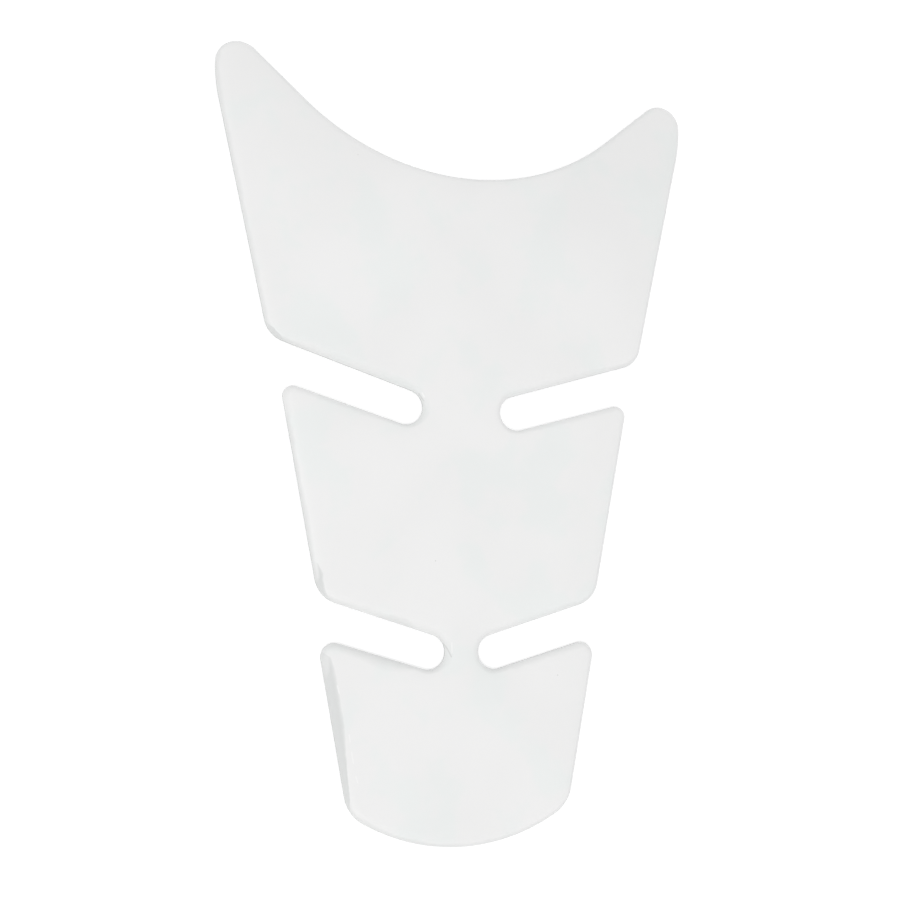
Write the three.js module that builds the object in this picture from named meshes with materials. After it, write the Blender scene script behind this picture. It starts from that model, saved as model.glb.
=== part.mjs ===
// Motorcycle tank pad: one soft pad of cast clear-milky polyurethane that is stuck to a fuel tank.
// It is flat underneath, has a short straight edge all round, and its top rolls up from that edge as
// a drop of resin does. Two horns reach out over a hollow rim, and two pairs of slots let the pad bend.
// It lies face up: +Y points to the horns, +X across, +Z out of its face. Sizes are in millimetres and
// heights along the pad are measured from the lowest point of its tail.
import * as THREE from "three";
import { toCreasedNormals } from "three/addons/utils/BufferGeometryUtils.js";

// Whole pad
const padLength = 210;
const padWidth = 137.6;
const thickness = 2;
const edgeHeight = 0.5; // straight edge below the rolled shoulder
const shoulderWidth = 2.2; // how far in from the edge the top becomes flat

// Rim and horns
const rimDepth = 30.3; // from the crest of the horns down to the middle of the rim
const hornSlope = 41; // degrees that the rim climbs on its straight way up to a horn
const hornRadius = 6.2;
const hornEaseRadius = 46; // wider round that brings the side upright before the horn's own

// Upper part, which carries the horns
const upperLean = 13; // degrees that its sides lean out from the pad's length
const wingRadius = 7.5;

// Slots: each opens a little from its round end to its mouth
const slotSlope = 16.9; // degrees that a slot rises towards its mouth
const slotFlare = 0.5; // degrees that each of its edges opens
const upperSlotWidth = 9.5;
const upperSlotHeight = 113.6;
const upperNeck = 22.2; // left between the ends of the upper pair
const lowerSlotWidth = 9;
const lowerSlotHeight = 49.1;
const lowerNeck = 9.3;

// Middle part, with its width taken level with the ends of the upper slots
const middleWidth = 97.3;
const middleLean = 11.4;
const middleTopRadius = 2.8;
const middleBottomRadius = 8;

// Lower part, with its width taken level with the ends of the lower slots
const lowerWidth = 75.5;
const lowerLean = 11.1;
const lowerTopRadius = 3.5;
const tailCornerRadius = 9.7;
const tailRadius = 52;

// How finely rounds are cut into straight pieces
const roundError = 0.02; // furthest that a piece lies off its round
const samePlace = 0.002; // points closer than this are one
const shoulderSteps = 5;

const rightAngle = Math.PI / 2;
const degrees = THREE.MathUtils.degToRad;
const towards = (angle) => new THREE.Vector2(Math.cos(angle), Math.sin(angle));
const leftOf = (angle) => towards(angle + rightAngle);

// A straight stretch of the edge: a point on it and the way it runs, with the material on its left.
const stretch = (point, angle) => ({ point, angle });

// Where two stretches meet once both are moved into the material.
function meetInside(first, second, inset) {
  const start = first.point.clone().addScaledVector(leftOf(first.angle), inset);
  const gap = second.point.clone().addScaledVector(leftOf(second.angle), inset).sub(start);
  const along = gap.cross(towards(second.angle)) / towards(first.angle).cross(towards(second.angle));
  return start.addScaledVector(towards(first.angle), along);
}

// An outer round that joins two stretches, and a hollow one, whose centre lies outside the material.
const outerRound = (centre, radius, from, to) => ({
  centre,
  radius,
  start: from - rightAngle,
  end: to - rightAngle,
  hollow: false,
});
const hollowRound = (centre, radius, from, to) => ({
  centre,
  radius,
  start: from + rightAngle,
  end: to + rightAngle,
  hollow: true,
});
const cornerRound = (first, second, radius) =>
  outerRound(meetInside(first, second, radius), radius, first.angle, second.angle);

// One slot on the right: its lower edge runs in, its upper edge runs out again.
function slot(width, height, neck) {
  const centre = new THREE.Vector2((neck + width) / 2, height);
  const inward = Math.PI + degrees(slotSlope - slotFlare);
  const outward = degrees(slotSlope + slotFlare);
  const touch = (angle) => centre.clone().addScaledVector(leftOf(angle), width / 2);
  return {
    lowerEdge: stretch(touch(inward), inward),
    upperEdge: stretch(touch(outward), outward),
    end: hollowRound(centre, width / 2, inward, outward),
  };
}

// The right side of a part, from its width at a height and its lean.
const side = (width, height, lean) =>
  stretch(new THREE.Vector2(width / 2, height), rightAngle - degrees(lean));

// The tail's corner touches the lower side and lies inside the tail's own arc.
function tailCorner(lowerSide) {
  const tailCentre = new THREE.Vector2(0, tailRadius);
  const start = lowerSide.point.clone().addScaledVector(leftOf(lowerSide.angle), tailCornerRadius);
  const offset = start.clone().sub(tailCentre);
  const across = offset.dot(leftOf(lowerSide.angle));
  const reach = tailRadius - tailCornerRadius;
  const back = offset.dot(towards(lowerSide.angle)) + Math.sqrt(reach ** 2 - across ** 2);
  const centre = start.addScaledVector(towards(lowerSide.angle), -back);
  const fromTail = Math.atan2(centre.y - tailCentre.y, centre.x);
  return outerRound(centre, tailCornerRadius, fromTail + rightAngle, lowerSide.angle);
}

// The horn, the wide round that leads the upper side into it, and the rim's arc, which touches the
// straight slope of the horn and the rim's lowest level.
function hornAndRim() {
  const horn = new THREE.Vector2(padWidth / 2 - hornRadius, padLength - hornRadius);
  const ease = new THREE.Vector2(padWidth / 2 - hornEaseRadius, horn.y);
  const upperSide = rightAngle - degrees(upperLean);
  const down = Math.PI + degrees(hornSlope);
  const outward = leftOf(down).negate();
  const touch = horn.clone().addScaledVector(outward, hornRadius);
  const rim = new THREE.Vector2(0, padLength - rimDepth);
  const rimRadius = rim.clone().sub(touch).dot(outward) / (1 - outward.y);
  rim.y += rimRadius;
  return {
    side: stretch(ease.clone().addScaledVector(leftOf(upperSide), -hornEaseRadius), upperSide),
    ease: outerRound(ease, hornEaseRadius, upperSide, rightAngle),
    horn: outerRound(horn, hornRadius, rightAngle, down),
    rim: hollowRound(rim, rimRadius, down, 2 * Math.PI - down),
  };
}

// Every round of the right half, from the tail up to the horn.
function rightRounds(top) {
  const lowerSide = side(lowerWidth, lowerSlotHeight, lowerLean);
  const middleSide = side(middleWidth, upperSlotHeight, middleLean);
  const lowerSlot = slot(lowerSlotWidth, lowerSlotHeight, lowerNeck);
  const upperSlot = slot(upperSlotWidth, upperSlotHeight, upperNeck);
  return [
    tailCorner(lowerSide),
    cornerRound(lowerSide, lowerSlot.lowerEdge, lowerTopRadius),
    lowerSlot.end,
    cornerRound(lowerSlot.upperEdge, middleSide, middleBottomRadius),
    cornerRound(middleSide, upperSlot.lowerEdge, middleTopRadius),
    upperSlot.end,
    cornerRound(upperSlot.upperEdge, top.side, wingRadius),
    top.ease,
    top.horn,
  ];
}

const mirrored = (round) => ({
  ...round,
  centre: new THREE.Vector2(-round.centre.x, round.centre.y),
  start: Math.PI - round.end,
  end: Math.PI - round.start,
});

// The whole edge, run once round with the material on its left.
function padEdge() {
  const top = hornAndRim();
  const right = rightRounds(top);
  const tailEnd = right[0].start;
  const tail = {
    centre: new THREE.Vector2(0, tailRadius),
    radius: tailRadius,
    start: -Math.PI - tailEnd,
    end: tailEnd,
    hollow: false,
  };
  const edge = new THREE.Path();
  for (const { centre, radius, start, end, hollow } of [
    tail,
    ...right,
    top.rim,
    ...right.map(mirrored).reverse(),
  ])
    edge.absarc(centre.x, centre.y, radius, start, end, hollow);
  return edge;
}

// Points along the edge, each with the way into the material. Straight stretches need none of their own.
function edgeStations(edge) {
  const stations = [];
  for (const arc of edge.curves.filter((curve) => curve.isEllipseCurve)) {
    const turn = Math.abs(arc.aEndAngle - arc.aStartAngle);
    const halfTurns = Math.ceil(turn / (4 * Math.acos(1 - roundError / arc.xRadius)));
    const steps = 2 * halfTurns; // an even number, so that the middle of the rim and of the tail is a point
    for (let step = 0; step <= steps; step++) {
      const tangent = arc.getTangent(step / steps);
      stations.push({
        point: arc.getPoint(step / steps),
        inward: new THREE.Vector2(-tangent.y, tangent.x),
      });
    }
  }
  return stations.filter(
    ({ point }, i) => point.distanceTo(stations.at(i - 1).point) > samePlace,
  );
}

// Inset and height of each level from the underside to the flat of the top.
function sectionLevels() {
  const levels = [{ inset: 0, height: 0 }];
  for (let step = 0; step <= shoulderSteps; step++) {
    const roll = (rightAngle * step) / shoulderSteps;
    levels.push({
      inset: shoulderWidth * (1 - Math.cos(roll)),
      height: edgeHeight + (thickness - edgeHeight) * Math.sin(roll),
    });
  }
  return levels;
}

// The closed solid: rings of the edge, one above the other, with a flat face below and one on top.
function padGeometry() {
  const stations = edgeStations(padEdge());
  const rings = sectionLevels().map(({ inset, height }) =>
    stations.map(({ point, inward }) => {
      const { x, y } = point.clone().addScaledVector(inward, inset);
      return new THREE.Vector3(x, y, height);
    }),
  );
  const count = stations.length;
  const index = [];
  for (let level = 0; level < rings.length - 1; level++)
    for (let i = 0; i < count; i++) {
      const next = (i + 1) % count;
      const below = level * count;
      const above = below + count;
      index.push(below + i, below + next, above + next);
      index.push(below + i, above + next, above + i);
    }
  for (const [a, b, c] of THREE.ShapeUtils.triangulateShape(rings[0], [])) index.push(a, c, b);
  const topStart = (rings.length - 1) * count;
  for (const [a, b, c] of THREE.ShapeUtils.triangulateShape(rings.at(-1), []))
    index.push(topStart + a, topStart + b, topStart + c);
  const geometry = new THREE.BufferGeometry().setFromPoints(rings.flat());
  geometry.setIndex(index);
  return toCreasedNormals(geometry, degrees(35));
}

const polyurethane = new THREE.MeshStandardMaterial({
  name: "milky_polyurethane",
  color: 0xeef0ef,
  roughness: 0.18,
  metalness: 0,
});

const tankPad = new THREE.Mesh(padGeometry(), polyurethane);
tankPad.name = "tank_pad";
tankPad.position.y = -padLength / 2; // the origin lies under the middle of the pad

const group = new THREE.Group();
group.add(tankPad);

export default group;
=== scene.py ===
# Looks of the motorcycle tank pad: one thin domed sheet of cast polyurethane on a pale table.
# All in metres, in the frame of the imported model: +Y to the horns, +X across, +Z out of the dome.
import bpy
import math
from mathutils import Matrix, Vector, noise
from mathutils.geometry import delaunay_2d_cdt
from mathutils.kdtree import KDTree


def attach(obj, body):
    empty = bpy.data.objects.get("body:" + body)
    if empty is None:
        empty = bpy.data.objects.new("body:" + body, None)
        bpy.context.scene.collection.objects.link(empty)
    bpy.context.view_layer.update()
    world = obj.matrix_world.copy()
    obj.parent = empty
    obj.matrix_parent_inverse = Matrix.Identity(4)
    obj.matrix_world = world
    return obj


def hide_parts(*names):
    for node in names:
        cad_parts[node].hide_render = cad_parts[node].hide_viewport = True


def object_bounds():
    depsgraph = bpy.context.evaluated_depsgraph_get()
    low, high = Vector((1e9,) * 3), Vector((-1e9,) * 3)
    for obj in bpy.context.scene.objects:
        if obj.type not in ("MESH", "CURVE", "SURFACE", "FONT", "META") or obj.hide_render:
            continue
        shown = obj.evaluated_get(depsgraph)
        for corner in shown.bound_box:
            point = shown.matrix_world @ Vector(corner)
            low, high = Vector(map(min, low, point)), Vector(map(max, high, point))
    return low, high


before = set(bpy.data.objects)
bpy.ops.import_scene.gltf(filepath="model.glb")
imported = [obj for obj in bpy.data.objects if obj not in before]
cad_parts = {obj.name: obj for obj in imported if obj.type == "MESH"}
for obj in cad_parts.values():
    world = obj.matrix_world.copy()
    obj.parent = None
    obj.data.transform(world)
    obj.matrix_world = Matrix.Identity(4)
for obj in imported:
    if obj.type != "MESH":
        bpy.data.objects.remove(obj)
cadLow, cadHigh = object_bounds()
mm = 0.001
print(f"frame loaded: pad of {(cadHigh - cadLow).x / mm:.1f} x {(cadHigh - cadLow).y / mm:.1f} mm")


# The pad's mesh

padForm = {
    "edgeHeight": 0.5 * mm,     # straight cut edge below the resin
    "bottomBreak": 0.06 * mm,   # small round where the edge meets the underside
    "edgeAngle": 78,            # degrees that the resin stands at the top of the straight edge
    "lastTilt": 7.5,            # degrees of tilt at which the rings end and the filled top begins
    "shoulderRings": 13,        # steps of the rolled shoulder
    "ringEase": 0.85,           # 1 spaces the rings by equal tilts, less puts them closer at the flat end
    "outlineStep": 0.6 * mm,    # furthest between two points of the outline
    "straightOver": 4 * mm,     # an outline edge longer than this is a true straight
    "inwardPasses": 3,          # smoothing of the ways in from the outline
    "topStep": 0.9 * mm,        # spacing of the points inside the top
    "undersideStep": 5 * mm,    # and inside the underside
    "edgeClear": 0.02 * mm,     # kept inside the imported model's outline
    "evenPasses": 12,           # smoothing of the top's heights between the slots
    "evenFrom": 3.0 * mm,       # how far from the edge that smoothing starts
    "waveHeight": 0.014 * mm,   # slight waves that the resin keeps when it cures
    "waveLength": 24 * mm,
    "fineWaveShare": 0.4,       # height of the finer waves among them
    "fineWaveRate": 2.7,        # and how many of them fit in a wide one
    "calmUntil": 2.5 * mm,      # how far from the edge the waves start
    "calmFade": 6 * mm,         # and over how far they rise
}


def neighbours(items):
    return zip(items[-1:] + items[:-1], items, items[1:] + items[:1])


def undersideLoop(node):
    # border of the flat underside, with the pad on its left as seen from above
    flatBelow = 0.001 * mm
    digits = 6   # places are compared to a micrometre
    vertices = node.data.vertices
    places = [(round(v.co.x, digits), round(v.co.y, digits)) for v in vertices]
    border = set()
    for face in node.data.polygons:
        if any(vertices[i].co.z > flatBelow for i in face.vertices):
            continue
        corners = [places[i] for i in face.vertices]
        for start, end in zip(corners, corners[1:] + corners[:1]):
            if (end, start) in border:
                border.remove((end, start))
            else:
                border.add((start, end))
    following = {end: start for start, end in border}   # run backwards, because these faces look down
    loop = [min(following)]
    while following[loop[-1]] != loop[0]:
        loop.append(following[loop[-1]])
    return [Vector(place) for place in loop]


def outlineTangents(loop):
    tangents = []
    for before, here, after in neighbours(loop):
        arriving, leaving = here - before, after - here
        if arriving.length > padForm["straightOver"]:
            tangents.append(arriving.normalized())
        elif leaving.length > padForm["straightOver"]:
            tangents.append(leaving.normalized())
        else:
            blend = arriving.normalized() * leaving.length + leaving.normalized() * arriving.length
            tangents.append(blend.normalized())
    return tangents


def fineOutline(loop):
    # closely spaced points on smooth curves through the loop's own points
    tangents = outlineTangents(loop)
    points = []
    for i, start in enumerate(loop):
        end = loop[(i + 1) % len(loop)]
        leave, arrive = tangents[i], tangents[(i + 1) % len(loop)]
        length = (end - start).length
        pieces = max(1, math.ceil(length / padForm["outlineStep"]))
        for step in range(pieces):
            t = step / pieces
            points.append(
                start * (2 * t**3 - 3 * t**2 + 1)
                + leave * length * (t**3 - 2 * t**2 + t)
                + end * (3 * t**2 - 2 * t**3)
                + arrive * length * (t**3 - t**2)
            )
    return points


def inwardDirections(points):
    # square to the outline and evened out over a few points, so that the shoulder runs smoothly
    inward = []
    for before, here, after in neighbours(points):
        along = (after - before).normalized()
        inward.append(Vector((-along.y, along.x)))
    for _ in range(padForm["inwardPasses"]):
        inward = [(a + b * 2 + c).normalized() for a, b, c in neighbours(inward)]
    return inward


# A drop of resin that is held at an edge: its tilt dies away inwards, at a pace set by its depth.
edgeTilt = math.radians(padForm["edgeAngle"])
lastTilt = math.radians(padForm["lastTilt"])
resinDepth = cadHigh.z - padForm["waveHeight"] - padForm["edgeHeight"]
resinPace = resinDepth / (2 * math.sin(edgeTilt / 2))
flatHeight = padForm["edgeHeight"] + resinDepth


def resinInset(tilt):
    def term(angle):
        return math.log(math.tan(angle / 4)) + 2 * math.cos(angle / 2)

    return resinPace * (term(edgeTilt) - term(tilt))


def resinDrop(tilt):
    return 2 * resinPace * math.sin(tilt / 2)   # how far below the flat of the top


def sectionRings():
    # inset and height of each ring, from the underside up to where the top is filled
    small = padForm["bottomBreak"]
    middle = 0.29 * small   # how far in the middle of that small round lies
    rings = [(small, 0.0), (middle, middle), (0.0, small)]
    rings += [(0.0, (small + padForm["edgeHeight"]) / 2)]
    for step in range(padForm["shoulderRings"] + 1):
        share = step / padForm["shoulderRings"]
        tilt = edgeTilt + (lastTilt - edgeTilt) * share ** padForm["ringEase"]
        rings.append((resinInset(tilt), flatHeight - resinDrop(tilt)))
    return rings


def crossings(loop, y):
    found = []
    for start, end in zip(loop, loop[1:] + loop[:1]):
        if (start.y > y) != (end.y > y):
            found.append(start.x + (y - start.y) / (end.y - start.y) * (end.x - start.x))
    return sorted(found)


def nearestTo(points):
    # gives back a function for the distance to the nearest of the points
    tree = KDTree(len(points))
    for i, point in enumerate(points):
        tree.insert((point.x, point.y, 0), i)
    tree.balance()
    return lambda x, y: tree.find((x, y, 0))[2]


def staggeredGrid(loop, spacing):
    # points inside the loop in rows, every second row moved by half a space
    clear = 0.55 * spacing   # kept between the grid and the loop
    distance = nearestTo(loop)
    lowest, highest = min(p.y for p in loop), max(p.y for p in loop)
    rowHeight = spacing * math.sqrt(3) / 2
    grid = []
    for row in range(math.ceil((highest - lowest) / rowHeight)):
        y = lowest + (row + 0.5) * rowHeight
        stagger = row % 2 / 2
        found = crossings(loop, y)
        for left, right in zip(found[::2], found[1::2]):
            first = math.ceil(left / spacing - stagger)
            last = math.floor(right / spacing - stagger)
            for column in range(first, last + 1):
                x = (column + stagger) * spacing
                if distance(x, y) > clear:
                    grid.append(Vector((x, y)))
    return grid


def fillLoop(loop, spacing):
    # a grid of points inside the loop, and triangles between them and the loop
    insideOnly = 1   # keeps only the triangles inside the loop
    samePlace = 1e-7
    grid = staggeredGrid(loop, spacing)
    made = delaunay_2d_cdt(loop + grid, [], [list(range(len(loop)))], insideOnly, samePlace)
    places, faces, origins = made[0], made[2], made[3]
    if len(places) != len(loop) + len(grid):
        raise RuntimeError("the fill lost or added points")
    source = [origin[0] for origin in origins]
    return grid, [[source[i] for i in face] for face in faces]


def resinProfile():
    # distance from the edge and drop below the flat, from the last ring inwards
    steps, ratio = 110, 0.93   # each step has this share of the tilt before it
    tilts = [lastTilt * ratio**step for step in range(steps)]
    return [(resinInset(tilt), resinDrop(tilt)) for tilt in tilts]


def dropAt(profile, reach):
    for (near, high), (far, low) in zip(profile, profile[1:]):
        if reach <= far:
            return high + (low - high) * max(0.0, reach - near) / (far - near)
    return 0.0


def evenOut(drops, reaches, faces):
    # each inner drop moves to the average around it, and the loop's own drops, which come first, stay
    fixed = len(drops) - len(reaches)
    linked = [set() for _ in drops]
    for face in faces:
        for i in face:
            linked[i].update(face)
    start = padForm["evenFrom"]   # and in full from twice that
    shares = [min(1.0, max(0.0, (reach - start) / start)) for reach in reaches]
    for _ in range(padForm["evenPasses"]):
        averages = [sum(drops[j] for j in sorted(near)) / len(near) for near in linked[fixed:]]
        moved = [a + (b - a) * share for a, b, share in zip(drops[fixed:], averages, shares)]
        drops = drops[:fixed] + moved
    return drops[fixed:]


def curedWave(point, reach):
    fineShift = Vector((5, 3, 1))   # so that the fine waves don't follow the wide ones
    calm = min(1.0, max(0.0, (reach - padForm["calmUntil"]) / padForm["calmFade"]))
    place = Vector((point.x, point.y, 0)) / padForm["waveLength"]
    fine = noise.noise(place * padForm["fineWaveRate"] + fineShift)
    wave = noise.noise(place) + padForm["fineWaveShare"] * fine
    wave = max(-1.0, min(1.0, wave)) * padForm["waveHeight"]
    return wave * calm**2 * (3 - 2 * calm)


def topHeights(grid, faces, ringCount, outline):
    # heights by distance from the edge, evened out, then the cured waves
    distance = nearestTo(outline)
    reaches = [distance(p.x, p.y) for p in grid]
    profile = resinProfile()
    drops = [resinDrop(lastTilt)] * ringCount + [dropAt(profile, reach) for reach in reaches]
    drops = evenOut(drops, reaches, faces)
    heights = [flatHeight - drop + curedWave(p, reach) for p, reach, drop in zip(grid, reaches, drops)]
    return reaches, heights


def wallFaces(levels, count):
    faces = []
    for level in range(levels - 1):
        for i in range(count):
            after = (i + 1) % count
            below, above = level * count, (level + 1) * count
            faces.append((below + i, below + after, above + after, above + i))
    return faces


def buildPad(node):
    outline = fineOutline(undersideLoop(node))
    inward = inwardDirections(outline)
    count = len(outline)
    print(f"outline: {count} points")

    rings = sectionRings()
    places, reaches = [], []
    for inset, height in rings:
        for point, direction in zip(outline, inward):
            spot = point + direction * (inset + padForm["edgeClear"])
            places.append((spot.x, spot.y, height))
            reaches.append(inset)
    faces = wallFaces(len(rings), count)

    topStart = (len(rings) - 1) * count
    lastRing = [Vector(place[:2]) for place in places[topStart:]]
    grid, fill = fillLoop(lastRing, padForm["topStep"])
    gridReaches, heights = topHeights(grid, fill, count, outline)
    places += [(p.x, p.y, height) for p, height in zip(grid, heights)]
    reaches += gridReaches
    faces += [tuple(topStart + i for i in face) for face in fill]
    slots = [0] * len(faces)   # the resin
    print(f"top: {len(grid)} points and {len(fill)} triangles")

    underStart = len(places)
    firstRing = [Vector(place[:2]) for place in places[:count]]
    grid, fill = fillLoop(firstRing, padForm["undersideStep"])
    places += [(p.x, p.y, 0.0) for p in grid]
    reaches += [0.0] * len(grid)
    faces += [tuple(i if i < count else underStart + i - count for i in reversed(face)) for face in fill]
    slots += [1] * len(fill)   # the adhesive face
    print(f"underside: {len(fill)} triangles")

    mesh = bpy.data.meshes.new("castPad")
    mesh.from_pydata(places, [], faces)
    mesh.polygons.foreach_set("material_index", slots)
    mesh.polygons.foreach_set("use_smooth", [slot == 0 for slot in slots])
    reachValues = mesh.attributes.new("edgeReach", "FLOAT", "POINT")   # mm from the edge, for the painted edge shade and the painted shade bands
    reachValues.data.foreach_set("value", [reach / mm for reach in reaches])
    mesh.validate()
    mesh.update()
    pad = bpy.data.objects.new("cast_pad", mesh)
    bpy.context.scene.collection.objects.link(pad)
    return pad


pad = buildPad(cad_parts["tank_pad"])
print(f"pad: {len(pad.data.vertices)} points, {len(pad.data.polygons)} faces")


# Small helpers for node trees

noiseSpan = (0.3, 0.7)   # nearly all of the noise lies in it


def newMaterial(name):
    material = bpy.data.materials.new(name)
    material.use_nodes = True
    material.node_tree.nodes.clear()
    return material, material.node_tree


def addNode(tree, kind, label, inputs, **settings):
    node = tree.nodes.new(kind)
    node.label = label
    for name, value in settings.items():
        setattr(node, name, value)
    for key, value in inputs.items():
        socket = node.inputs[key]
        if isinstance(value, bpy.types.NodeSocket):
            tree.links.new(value, socket)
        else:
            socket.default_value = (*value, 1) if socket.type == "RGBA" else value
    return node


def addNoise(tree, where, label, patch, detail=2.0, roughness=0.5):
    inputs = {"Vector": where, "Scale": 1 / patch, "Detail": detail, "Roughness": roughness}
    return addNode(tree, "ShaderNodeTexNoise", label, inputs).outputs["Fac"]


def addBump(tree, height, label, strength, distance):
    inputs = {"Strength": strength, "Distance": distance, "Height": height}
    return addNode(tree, "ShaderNodeBump", label, inputs).outputs["Normal"]


def mapRange(tree, value, label, fromRange, toRange, smooth=False):
    inputs = {"Value": value, "From Min": fromRange[0], "From Max": fromRange[1]}
    inputs |= {"To Min": toRange[0], "To Max": toRange[1]}
    kind = "SMOOTHSTEP" if smooth else "LINEAR"
    return addNode(tree, "ShaderNodeMapRange", label, inputs, interpolation_type=kind).outputs["Result"]


def mixColours(tree, share, first, second, label):
    # sockets 6 and 7 are the node's two colours, and output 2 is the mixed one
    node = addNode(tree, "ShaderNodeMix", label, {0: share, 6: first, 7: second}, data_type="RGBA")
    return node.outputs[2]


def calculate(tree, operation, first, second, label):
    return addNode(tree, "ShaderNodeMath", label, {0: first, 1: second}, operation=operation).outputs[0]


def vectorMath(tree, operation, label, inputs):
    return addNode(tree, "ShaderNodeVectorMath", label, inputs, operation=operation).outputs


def splitPlace(tree, where):
    return addNode(tree, "ShaderNodeSeparateXYZ", "across, along and height", {0: where}).outputs


# Body of the resin: clouds of two tones, darker in wide clouds, painted shade towards the horns and the
# upper right, and some dust

bodyLook = {
    "paleTone": (0.858, 0.857, 0.855),
    "coolTone": (0.832, 0.855, 0.848),   # faint green patches
    "patchSize": 17 * mm,
    "patchSpan": (0.49, 0.61),           # of the noise, over which pale turns to cool
    "patchShare": 0.85,
    "darkestLevel": 0.94,                     # level of both tones where the clouds and the painted shade are darkest
    "cloudSize": 30 * mm,
    "cloudSpan": (0.36, 0.64),
    "cloudDepth": 0.3,
    # painted shade: the tone darkens towards the horns and towards the upper right, as light from the lower
    # left leaves it
    "hornShadeSpan": (45 * mm, 90 * mm),      # along the pad
    "hornShadeDepth": 0.5,
    "rightShadeSpan": (-40 * mm, 50 * mm),    # across the pad
    "rightShadeDepth": 0.4,
    "upperShadeSpan": (-10 * mm, 60 * mm),    # along the pad, where the painted shade starts to darken the right side
    "dustTone": (0.42, 0.44, 0.41),
    "dustSpacing": 7 * mm,
    "dustRadius": (0.012, 0.03),         # in spacings: dark up to the first, gone at the second
    "dustChoice": (0.66, 0.68),          # of each place's own value, above which it holds a speck
    "dustShare": 0.5,
}


def shareOfDust(tree, where):
    spacing = {"Vector": where, "Scale": 1 / bodyLook["dustSpacing"]}
    cells = addNode(tree, "ShaderNodeTexVoronoi", "dust", spacing).outputs
    size = mapRange(tree, cells["Distance"], "size of a speck", bodyLook["dustRadius"], (1.0, 0.0))
    values = addNode(tree, "ShaderNodeSeparateColor", "a value for each place", {0: cells["Color"]}).outputs
    choice = mapRange(tree, values[0], "few of them", bodyLook["dustChoice"], (0.0, bodyLook["dustShare"]))
    return calculate(tree, "MULTIPLY", size, choice, "share of dust")


def bodyColour(tree, where):
    patch = addNoise(tree, where, "cool patches", bodyLook["patchSize"], detail=3.0, roughness=0.55)
    toCool = (0.0, bodyLook["patchShare"])
    cool = mapRange(tree, patch, "share of the cool tone", bodyLook["patchSpan"], toCool, smooth=True)
    colour = mixColours(tree, cool, bodyLook["paleTone"], bodyLook["coolTone"], "two tones")

    place = splitPlace(tree, where)
    cloud = addNoise(tree, where, "wide clouds", bodyLook["cloudSize"], detail=1.5)
    toCloud = (0.0, bodyLook["cloudDepth"])
    depth = mapRange(tree, cloud, "depth of the clouds", bodyLook["cloudSpan"], toCloud, smooth=True)
    # painted shade: darker towards the horns and towards the upper right
    toHorns = (0.0, bodyLook["hornShadeDepth"])
    horns = mapRange(tree, place["Y"], "towards the horns", bodyLook["hornShadeSpan"], toHorns)
    toRight = (0.0, bodyLook["rightShadeDepth"])
    right = mapRange(tree, place["X"], "towards the right", bodyLook["rightShadeSpan"], toRight)
    upper = mapRange(tree, place["Y"], "in the upper part", bodyLook["upperShadeSpan"], (0.0, 1.0))
    upperRightShade = calculate(tree, "MULTIPLY", right, upper, "upper right")
    for more in (horns, upperRightShade):
        depth = calculate(tree, "ADD", depth, more, "deeper")
    level = mapRange(tree, depth, "level", (0.0, 1.0), (1.0, bodyLook["darkestLevel"]))
    colour = vectorMath(tree, "SCALE", "deeper tone", {0: colour, "Scale": level})[0]
    return mixColours(tree, shareOfDust(tree, where), colour, bodyLook["dustTone"], "dust")


# Edge of the resin: painted shade, a darker line along the edge for the dark rim of the rolled shoulder,
# and darker painted shade on the straight cut edge below it, next to the table

edgeLook = {
    "edgeShadeTone": (0.718, 0.727, 0.723),
    "edgeShadeWidth": (0.9, 1.4),            # mm, where narrowest and where widest
    "unevenLength": 4 * mm,
    # painted shade low on the straight cut edge, next to the table
    "cutShadeTone": (0.56, 0.57, 0.565),
    "cutShadeHeights": (0.4 * mm, 0.65 * mm),   # in full below the first and gone above the second
    "slotBands": ((13.5 * mm, 8 * mm), (-51.7 * mm, 7 * mm)),   # middle along the pad and half width
    "slotFade": 3 * mm,
    "slotShare": 0.5,                   # share of the painted edge shade that is left beside the slots
    "slotWidth": 1.6,                   # how many times as wide the painted edge shade is there
}


def besideSlots(tree, along):
    # 1 in the bands of the slots and 0 a little way from them
    share = 0.0
    for middle, half in edgeLook["slotBands"]:
        away = calculate(tree, "SUBTRACT", along, middle, "from the band's middle")
        away = calculate(tree, "ABSOLUTE", away, 0.0, "distance from it")
        part = mapRange(tree, away, "in the band", (half, half + edgeLook["slotFade"]), (1.0, 0.0))
        share = calculate(tree, "MAXIMUM", share, part, "in any band")
    return share


def edgeShadeShare(tree, where, along, reach):
    # painted shade along the edge, wider and paler beside the slots
    uneven = addNoise(tree, where, "uneven cut", edgeLook["unevenLength"], detail=2.0)
    width = mapRange(tree, uneven, "edge width", noiseSpan, edgeLook["edgeShadeWidth"])
    beside = besideSlots(tree, along)
    wider = mapRange(tree, beside, "wider at the slots", (0.0, 1.0), (1.0, edgeLook["slotWidth"]))
    width = calculate(tree, "MULTIPLY", width, wider, "whole width")
    share = mapRange(tree, reach, "thin edge", (0.0, width), (1.0, 0.0))
    paler = mapRange(tree, beside, "paler at the slots", (0.0, 1.0), (1.0, edgeLook["slotShare"]))
    return calculate(tree, "MULTIPLY", share, paler, "share of the thin edge")
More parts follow.
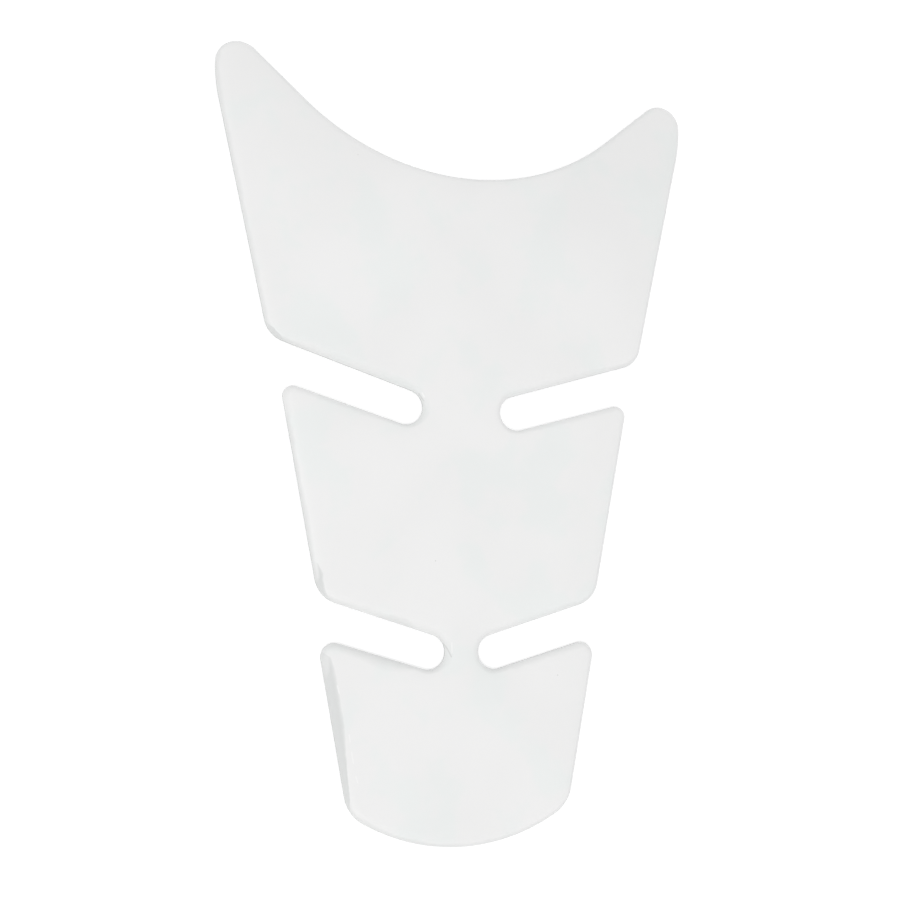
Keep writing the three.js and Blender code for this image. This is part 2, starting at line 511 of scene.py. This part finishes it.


# Painted shade bands: dark reflection and shade painted in bands along the left edges and under the lower
# left slot

# The borders of a band are points of (place on its first axis, distance from the edge), in mm.
# On its second axis it is kept between its start and its limit, given for both ends, off the other edges.
paintedShadeBands = {
    "tone": (0.688, 0.699, 0.694),
    "widest": 4,                   # mm, above every distance in the borders
    "ragged": (-0.12, 0.12),       # mm by which the borders wander
    "raggedLength": 2.5 * mm,
    "narrowAndWide": (1.8, 3.0),   # mm, the widths that the two softnesses belong to
    "bandFade": (-0.45, 0.25),     # mm about the outer border, over which its band ends
    "limitFade": 1.5 * mm,
    "startFade": 1 * mm,
    "places": {
        "lowerSide": {
            "axes": ("Y", "X"),
            "outer": ((-63.5, 0), (-60.5, 1.4), (-56.5, 2.2)),
            "inner": (
                (-95, 0), (-92, 1.1), (-85, 1.7), (-79, 2.4), (-74, 3), (-60, 3), (-57, 2.4), (-55.5, 0),
            ),
            "start": -60 * mm,
            "limit": (-27 * mm, -31.5 * mm),
            "depth": 1.0,         # share of the dark tone where it is strongest
            "soft": (0.3, 1.5),   # mm over which its inner border fades, where narrow and where wide
            "outerBand": 0.5,     # share that is left between its outer border and the edge
        },
        "lowerSlotEdge": {
            "axes": ("X", "Y"),
            "outer": ((-38, 0), (-12, 0)),
            "inner": (
                (-37, 0), (-34.5, 2.2), (-28, 2.4), (-24, 3.2), (-21, 3.4), (-18, 2.8), (-15, 2), (-12, 0),
            ),
            "start": -70 * mm,
            "limit": (-46 * mm, -46 * mm),
            "depth": 0.42,
            "soft": (2.6, 3.2),
            "outerBand": 1.0,
        },
        "middleCorner": {
            "axes": ("Y", "X"),
            "outer": ((-38.4, 0), (-37, 1.0), (-33.2, 1.4)),
            "inner": ((-43.2, 0), (-41, 0.95), (-39, 1.7), (-36, 2.2), (-33.5, 1.5), (-32.5, 0)),
            "start": -60 * mm,
            "limit": (-33 * mm, -33 * mm),
            "depth": 1.0,
            "soft": (0.6, 1.6),
            "outerBand": 0.15,
        },
        "upperCorner": {
            "axes": ("Y", "X"),
            "outer": ((22, 0), (26, 0), (28, 0.6)),
            "inner": ((23.2, 0), (24.4, 0.6), (25.2, 0.95), (27, 1.15), (29, 0)),
            "start": -75 * mm,
            "limit": (-47 * mm, -47 * mm),
            "depth": 1.0,
            "soft": (0.3, 0.3),
            "outerBand": 0.5,
        },
    },
}


def borderAlong(tree, along, label, points):
    # straight pieces through points of (place along the edge, distance from it), both in mm
    low, high = points[0][0], points[-1][0]
    share = mapRange(tree, along, "share of its length", (low * mm, high * mm), (0.0, 1.0))
    ramp = addNode(tree, "ShaderNodeValToRGB", label, {0: share})
    stops = ramp.color_ramp.elements
    for place, distance in points:
        ends = {low: stops[0], high: stops[-1]}   # looked up each time, because a new stop moves them
        stop = ends[place] if place in ends else stops.new((place - low) / (high - low))
        level = distance / paintedShadeBands["widest"]
        stop.color = (level, level, level, 1)
    return mapRange(tree, ramp.outputs["Color"], "back to mm", (0.0, 1.0), (0.0, paintedShadeBands["widest"]))


def shadeBandShare(tree, where, reach, shadeBand):
    place = splitPlace(tree, where)
    along, across = (place[axis] for axis in shadeBand["axes"])
    wander = addNoise(tree, where, "ragged border", paintedShadeBands["raggedLength"], detail=3.0)
    wander = mapRange(tree, wander, "raggedness", noiseSpan, paintedShadeBands["ragged"])
    shifted = calculate(tree, "ADD", reach, wander, "wandering distance")
    inner = borderAlong(tree, along, "inner border", shadeBand["inner"])
    outer = borderAlong(tree, along, "outer border", shadeBand["outer"])
    toInner = calculate(tree, "SUBTRACT", inner, shifted, "to inner")
    toOuter = calculate(tree, "SUBTRACT", shifted, outer, "to outer")

    soft = mapRange(tree, inner, "softness", paintedShadeBands["narrowAndWide"], shadeBand["soft"])
    fade = mapRange(tree, toInner, "softer inwards", (0.0, soft), (1.0, 0.0))
    fade = calculate(tree, "MULTIPLY", fade, fade, "rounded fade")
    share = mapRange(tree, fade, "share of the gap", (0.0, 1.0), (shadeBand["depth"], 0.0))

    bothEnds = (shadeBand["inner"][0][0] * mm, shadeBand["inner"][-1][0] * mm)
    limit = mapRange(tree, along, "limit", bothEnds, shadeBand["limit"])
    beyond = calculate(tree, "SUBTRACT", across, limit, "beyond the limit")
    starting = (shadeBand["start"] - paintedShadeBands["startFade"], shadeBand["start"])
    for value, label, span, levels in (
        (toOuter, "less in the outer band", paintedShadeBands["bandFade"], (shadeBand["outerBand"], 1.0)),
        (beyond, "within the limit", (-paintedShadeBands["limitFade"], 0.0), (1.0, 0.0)),
        (across, "after the start", starting, (0.0, 1.0)),
    ):
        part = mapRange(tree, value, label, span, levels)
        share = calculate(tree, "MULTIPLY", share, part, label)
    return share


# Small straight marks, from one end to the other in mm across and along the pad: dark ticks, and pale
# strokes that are painted highlights

ticksAndGlints = {
    "darkTone": (0.68, 0.69, 0.685),
    "dark": (
        ((-5.2, -53.7), (-4.2, -55.0)),
        ((-4.2, -55.0), (-3.2, -57.1)),
        ((-12.3, 12.3), (-11.0, 10.4)),
    ),
    # painted highlights: pale glints beside the slot ends and along the lower left shoulder
    "paleTone": (0.89, 0.89, 0.887),
    "pale": (
        ((-3.1, -53.6), (-3.0, -56.1)),
        ((-11.5, 12.4), (-10.9, 11.4)),
        ((-33.3, -64.0), (-32.8, -65.8)),
        ((-30.1, -76.1), (-29.8, -77.8)),
        ((-29.4, -80.4), (-28.9, -83.0)),
        ((-28.2, -86.3), (-27.7, -87.8)),
    ),
    "width": 0.5 * mm,
    "fullShare": 0.3,   # share of the width with the full tone
}


def markShare(tree, flat, start, end):
    # 1 on the mark's line and 0 from half its width on
    start = Vector((*start, 0)) * mm
    run = Vector((*end, 0)) * mm - start
    away = vectorMath(tree, "SUBTRACT", "from its start", {0: flat, 1: start})[0]
    dot = vectorMath(tree, "DOT_PRODUCT", "along it", {0: away, 1: run})["Value"]
    along = mapRange(tree, dot, "share of its length", (0.0, run.length_squared), (0.0, 1.0))
    foot = vectorMath(tree, "SCALE", "nearest place", {0: run, "Scale": along})[0]
    distance = vectorMath(tree, "DISTANCE", "distance", {0: away, 1: foot})["Value"]
    half = ticksAndGlints["width"] / 2
    span = (ticksAndGlints["fullShare"] * half, half)
    return mapRange(tree, distance, "mark", span, (1.0, 0.0), smooth=True)


def withTicksAndGlints(tree, where, colour):
    flat = vectorMath(tree, "MULTIPLY", "flat", {0: where, 1: (1, 1, 0)})[0]
    # the dark ticks, then the painted highlights
    for kind in ("dark", "pale"):
        for start, end in ticksAndGlints[kind]:
            share = markShare(tree, flat, start, end)
            colour = mixColours(tree, share, colour, ticksAndGlints[kind + "Tone"], "cutting mark")
    return colour


# Finish of the domed side: milky polyurethane under its own glossy skin

resinFinish = {
    "roughness": (0.07, 0.16),       # where clean and where handled
    "handlingSize": 14 * mm,
    "handlingSpan": (0.3, 0.75),     # of the noise, from clean to handled
    "peelSize": 2.4 * mm,            # faint orange peel
    "peelStrength": 0.25,
    "peelDepth": 0.02 * mm,
    "refraction": 1.5,
    "subsurface": 0.15,
    "subsurfaceDepth": 0.7 * mm,
    "coat": 0.25,
    "coatRoughness": 0.04,
}


def resinMaterial():
    material, tree = newMaterial("milkyPolyurethane")
    where = addNode(tree, "ShaderNodeTexCoord", "place on the pad", {}).outputs["Object"]
    attribute = {"attribute_name": "edgeReach"}
    reach = addNode(tree, "ShaderNodeAttribute", "mm from the edge", {}, **attribute).outputs["Fac"]
    place = splitPlace(tree, where)

    colour = bodyColour(tree, where)
    # painted shade: the darker line along the edge
    edgeShade = edgeShadeShare(tree, where, place["Y"], reach)
    colour = mixColours(tree, edgeShade, colour, edgeLook["edgeShadeTone"], "thin edge")
    # painted dark reflection and shade in bands along the left edges and under the lower left slot
    for shadeBand in paintedShadeBands["places"].values():
        share = shadeBandShare(tree, where, reach, shadeBand)
        colour = mixColours(tree, share, colour, paintedShadeBands["tone"], "adhesive gap")
    # painted shade on the straight cut edge, darkest low down next to the table
    cut = mapRange(tree, place["Z"], "cut edge share", edgeLook["cutShadeHeights"], (1.0, 0.0), smooth=True)
    colour = mixColours(tree, cut, colour, edgeLook["cutShadeTone"], "cut edge")
    colour = withTicksAndGlints(tree, where, colour)

    handling = addNoise(tree, where, "handling", resinFinish["handlingSize"], detail=5.0, roughness=0.6)
    gloss = mapRange(tree, handling, "gloss", resinFinish["handlingSpan"], resinFinish["roughness"])
    peel = addNoise(tree, where, "orange peel", resinFinish["peelSize"], detail=1.0)
    relief = addBump(tree, peel, "peel", resinFinish["peelStrength"], resinFinish["peelDepth"])
    shader = addNode(tree, "ShaderNodeBsdfPrincipled", "polyurethane", {
        "Base Color": colour,
        "Roughness": gloss,
        "Normal": relief,
        "IOR": resinFinish["refraction"],
        "Subsurface Weight": resinFinish["subsurface"],
        "Subsurface Radius": (1, 1, 1),
        "Subsurface Scale": resinFinish["subsurfaceDepth"],
        "Coat Weight": resinFinish["coat"],
        "Coat Roughness": resinFinish["coatRoughness"],
        "Coat IOR": resinFinish["refraction"],
    })
    addNode(tree, "ShaderNodeOutputMaterial", "output", {"Surface": shader.outputs[0]})
    return material


# Finish of the underside: the same resin with a dull adhesive face

adhesiveFinish = {
    "paleTone": (0.80, 0.815, 0.81),
    "dullTone": (0.74, 0.755, 0.75),
    "cloudSize": 18 * mm,
    "roughness": (0.4, 0.6),
    "grainSize": 0.8 * mm,
    "grainStrength": 0.3,
    "grainDepth": 0.02 * mm,
}


def adhesiveMaterial():
    material, tree = newMaterial("adhesiveFace")
    where = addNode(tree, "ShaderNodeTexCoord", "place on the pad", {}).outputs["Object"]
    spread = addNoise(tree, where, "uneven coat", adhesiveFinish["cloudSize"], detail=4.0)
    dull = mapRange(tree, spread, "share of the dull tone", noiseSpan, (0.0, 1.0), smooth=True)
    colour = mixColours(tree, dull, adhesiveFinish["paleTone"], adhesiveFinish["dullTone"], "coat")
    grain = addNoise(tree, where, "fine grain", adhesiveFinish["grainSize"], detail=2.0)
    rough = mapRange(tree, grain, "dullness", noiseSpan, adhesiveFinish["roughness"])
    relief = addBump(tree, grain, "grain", adhesiveFinish["grainStrength"], adhesiveFinish["grainDepth"])
    inputs = {"Base Color": colour, "Roughness": rough, "Normal": relief}
    shader = addNode(tree, "ShaderNodeBsdfPrincipled", "adhesive", inputs)
    addNode(tree, "ShaderNodeOutputMaterial", "output", {"Surface": shader.outputs[0]})
    return material


pad.data.materials.append(resinMaterial())
pad.data.materials.append(adhesiveMaterial())
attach(pad, "root")
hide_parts("tank_pad")
print("materials: resin and adhesive face")


# Table, light and camera

tableLook = {
    "size": 1.6,
    "below": 0.03 * mm,         # the table lies just under the pad, so that the two don't share a plane
    "colour": (0.90, 0.90, 0.90),
    "whiteLift": 0.22,          # added where it is seen, so that the lit table reads as white
}
worldLook = {"fill": 0.835}     # light from all round, where 1 is full white
lamps = {
    "tailPanel": {"place": (-0.60, -1.50, 2.10), "size": (1.2, 1.2), "share": 0.09, "inGloss": False},
    "leftPanel": {"place": (-0.45, 0.15, 1.00), "size": (0.5, 0.5), "share": 0.05, "inGloss": False},
    "ceilingPanel": {"place": (-1.20, -0.85, 1.60), "size": (2.2, 2.2), "share": 0.05, "inGloss": True},
}
photoCamera = {
    "place": (-92.68 * mm, -46.35 * mm, 278.96 * mm),
    "right": (0.95206, 0.00262, 0.30591),
    "up": (-0.04785, 0.98893, 0.14044),
    "lens": 44.0,
    "nearest": 0.01,            # closer than this it sees nothing
}


def seenShare(tree):
    # 1 for the camera and for what is seen in gloss or through glass
    path = addNode(tree, "ShaderNodeLightPath", "kind of ray", {}).outputs
    seen = calculate(tree, "MAXIMUM", path["Is Camera Ray"], path["Is Glossy Ray"], "camera or gloss")
    return calculate(tree, "MAXIMUM", seen, path["Is Transmission Ray"], "or glass")


def makeTable():
    half = tableLook["size"] / 2
    corners = [(-half, -half), (half, -half), (half, half), (-half, half)]
    mesh = bpy.data.meshes.new("table")
    mesh.from_pydata([(x, y, -tableLook["below"]) for x, y in corners], [], [(0, 1, 2, 3)])
    table = bpy.data.objects.new("table", mesh)
    bpy.context.scene.collection.objects.link(table)
    material, tree = newMaterial("paleTable")
    matte = addNode(tree, "ShaderNodeBsdfDiffuse", "matte white", {"Color": tableLook["colour"]}).outputs[0]
    strength = calculate(tree, "MULTIPLY", seenShare(tree), tableLook["whiteLift"], "lift")
    lift = addNode(tree, "ShaderNodeEmission", "white ground", {"Strength": strength}).outputs[0]
    both = addNode(tree, "ShaderNodeAddShader", "lit and lifted", {0: matte, 1: lift}).outputs[0]
    addNode(tree, "ShaderNodeOutputMaterial", "output", {"Surface": both})
    mesh.materials.append(material)


def makeWorld():
    world = bpy.data.worlds.new("studio")
    bpy.context.scene.world = world
    world.use_nodes = True
    tree = world.node_tree
    tree.nodes.clear()
    strength = mapRange(tree, seenShare(tree), "white where seen", (0.0, 1.0), (worldLook["fill"], 1.0))
    room = {"Color": (1, 1, 1), "Strength": strength}
    background = addNode(tree, "ShaderNodeBackground", "white room", room)
    addNode(tree, "ShaderNodeOutputWorld", "output", {"Surface": background.outputs[0]})


def makeLamp(name, place, size, share, inGloss):
    # share is what the lamp alone gives a white matte surface on the table, where 1 is full white
    lamp = bpy.data.lights.new(name, "AREA")
    lamp.shape = "RECTANGLE"
    lamp.size, lamp.size_y = size
    place = Vector(place)
    lean = place.normalized().z
    lamp.energy = share * math.pi**2 * place.length_squared / lean
    holder = bpy.data.objects.new(name, lamp)
    holder.location = place
    holder.rotation_euler = place.to_track_quat("Z", "Y").to_euler()
    holder.visible_glossy = inGloss
    bpy.context.scene.collection.objects.link(holder)


def makeCamera():
    camera = bpy.data.objects.new("photoCamera", bpy.data.cameras.new("photoCamera"))
    bpy.context.scene.collection.objects.link(camera)
    right = Vector(photoCamera["right"]).normalized()
    back = right.cross(Vector(photoCamera["up"])).normalized()
    axes = Matrix((right, back.cross(right), back)).transposed()
    camera.matrix_world = Matrix.Translation(photoCamera["place"]) @ axes.to_4x4()
    camera.data.lens = photoCamera["lens"]
    camera.data.clip_start = photoCamera["nearest"]
    bpy.context.scene.camera = camera


makeTable()
makeWorld()
for name, values in lamps.items():
    makeLamp(name, **values)
makeCamera()
bpy.context.scene.view_settings.view_transform = "Standard"
print("table, light and camera: done")
